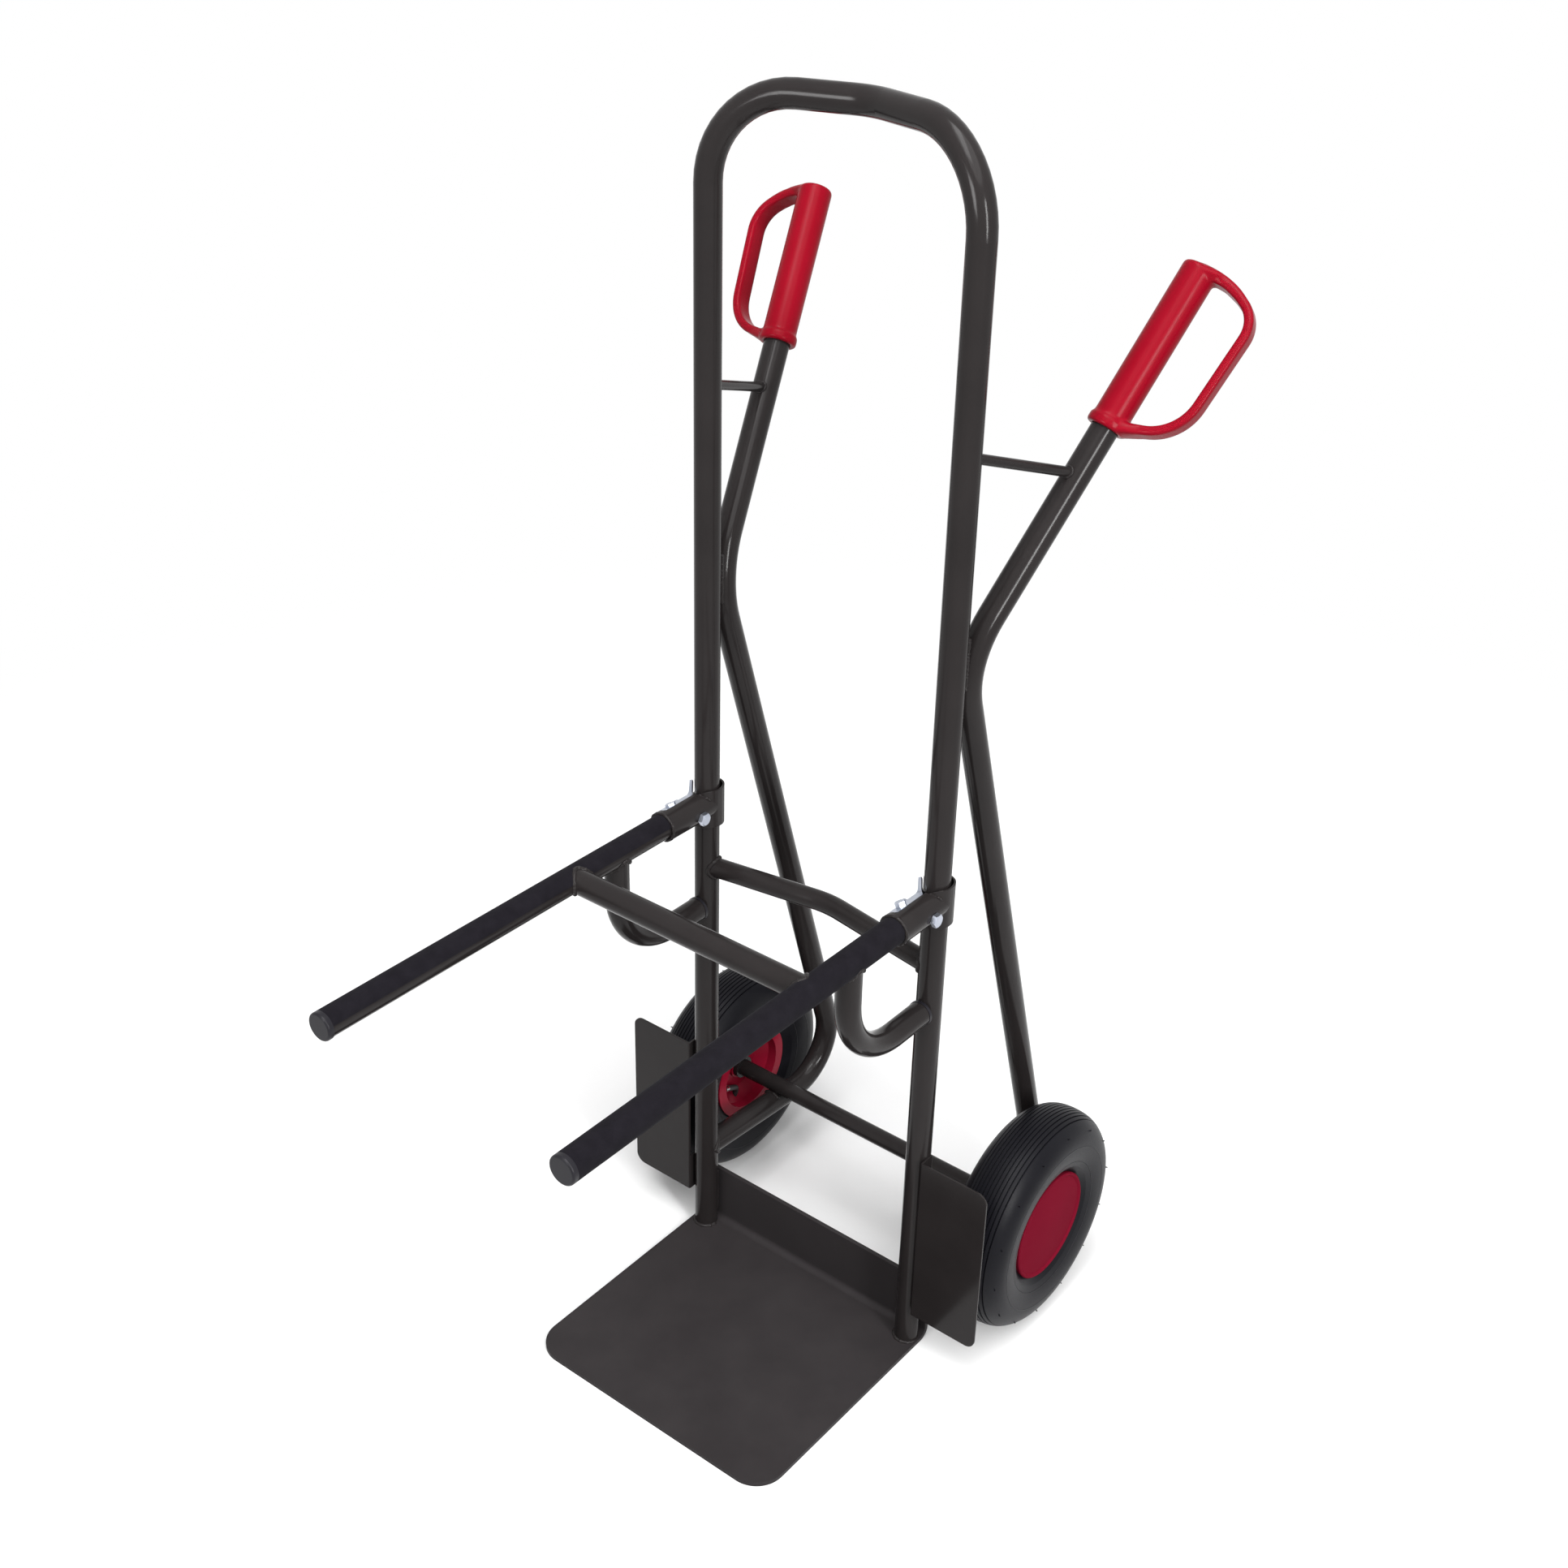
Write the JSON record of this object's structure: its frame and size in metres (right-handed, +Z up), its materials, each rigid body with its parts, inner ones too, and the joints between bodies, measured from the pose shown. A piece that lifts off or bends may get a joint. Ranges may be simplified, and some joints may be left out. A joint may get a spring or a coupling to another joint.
{
  "type": "chair dolly",
  "caption": "Tall two-wheeled dolly for stacked chairs: tube frame with looped grips, toe plate, air-tyred wheels and a fork that slides on the uprights.",
  "frame": {"origin": "on the floor under the toe plate, midway between the uprights' centre lines", "axes": "+X to the right seen from the front, +Y to the rear where the wheels are, +Z up"},
  "size_m": [0.5766, 0.7937, 1.3285],
  "materials": {
    "frame_paint": "satin anthracite powder coat",
    "plate_paint": "satin anthracite powder coat",
    "zinc": "bright zinc plate",
    "grip_red": "satin red moulding",
    "cap_red": "satin red moulding",
    "rim_red": "glossy red enamel",
    "tyre_black": "black rubber",
    "tube_rubber": "black rubber",
    "cover_black": "matt black sleeve",
    "plug_black": "black moulding",
    "valve_nickel": "bright nickel plate"
  },
  "bodies": {
    "frame": {"main_hoop": "frame_paint", "cross_rail": "frame_paint", "toe_plate": "plate_paint", "axle": "frame_paint", "left_side_tube": "frame_paint", "right_side_tube": "frame_paint", "left_brace": "frame_paint", "right_brace": "frame_paint", "left_wheel_guard": "frame_paint", "right_wheel_guard": "frame_paint", "left_stop_collar": "frame_paint", "right_stop_collar": "frame_paint", "left_outer_washer": "zinc", "right_outer_washer": "zinc", "left_split_pin": "zinc", "right_split_pin": "zinc", "left_grip": "grip_red", "right_grip": "grip_red"},
    "fork_slider": {"left_pivot_bolt": "zinc", "right_pivot_bolt": "zinc", "left_pivot_nut": "zinc", "right_pivot_nut": "zinc"},
    "fork": {"fork_cross_tube": "frame_paint", "left_fork_arm": "frame_paint", "right_fork_arm": "frame_paint", "left_arm_cover": "cover_black", "right_arm_cover": "cover_black", "left_arm_cap": "plug_black", "right_arm_cap": "plug_black", "left_fork_stay": "frame_paint", "right_fork_stay": "frame_paint", "left_stay_pad": "plug_black", "right_stay_pad": "plug_black", "left_bracket": "frame_paint", "right_bracket": "frame_paint", "left_spring_strip": "zinc", "right_spring_strip": "zinc", "left_strip_screw": "zinc", "right_strip_screw": "zinc"},
    "left_wheel": {"left_tyre": "tyre_black", "left_inner_tube": "tube_rubber", "left_inner_rim": "rim_red", "left_outer_rim": "rim_red", "left_hub": "rim_red", "left_hub_cap": "cap_red", "left_valve_cap": "valve_nickel"},
    "right_wheel": {"right_tyre": "tyre_black", "right_inner_tube": "tube_rubber", "right_inner_rim": "rim_red", "right_outer_rim": "rim_red", "right_hub": "rim_red", "right_hub_cap": "cap_red", "right_valve_cap": "valve_nickel"}
  },
  "joints": [
    {"name": "fork_height", "type": "slide", "parent": "frame", "child": "fork_slider", "axis": [0, 0, 1], "range_m": [-0.035, 0.165]},
    {"name": "fork_tilt", "type": "hinge", "parent": "fork_slider", "child": "fork", "pos_m": [0, -0.0265, 0.5835], "axis": [-1, 0, 0], "range_deg": [0, 2.5]},
    {"name": "left_wheel_spin", "type": "hinge", "parent": "frame", "child": "left_wheel", "pos_m": [-0.2135, 0.131, 0.13], "axis": [1, 0, 0], "continuous": true},
    {"name": "right_wheel_spin", "type": "hinge", "parent": "frame", "child": "right_wheel", "pos_m": [0.2135, 0.131, 0.13], "axis": [1, 0, 0], "continuous": true}
  ]
}
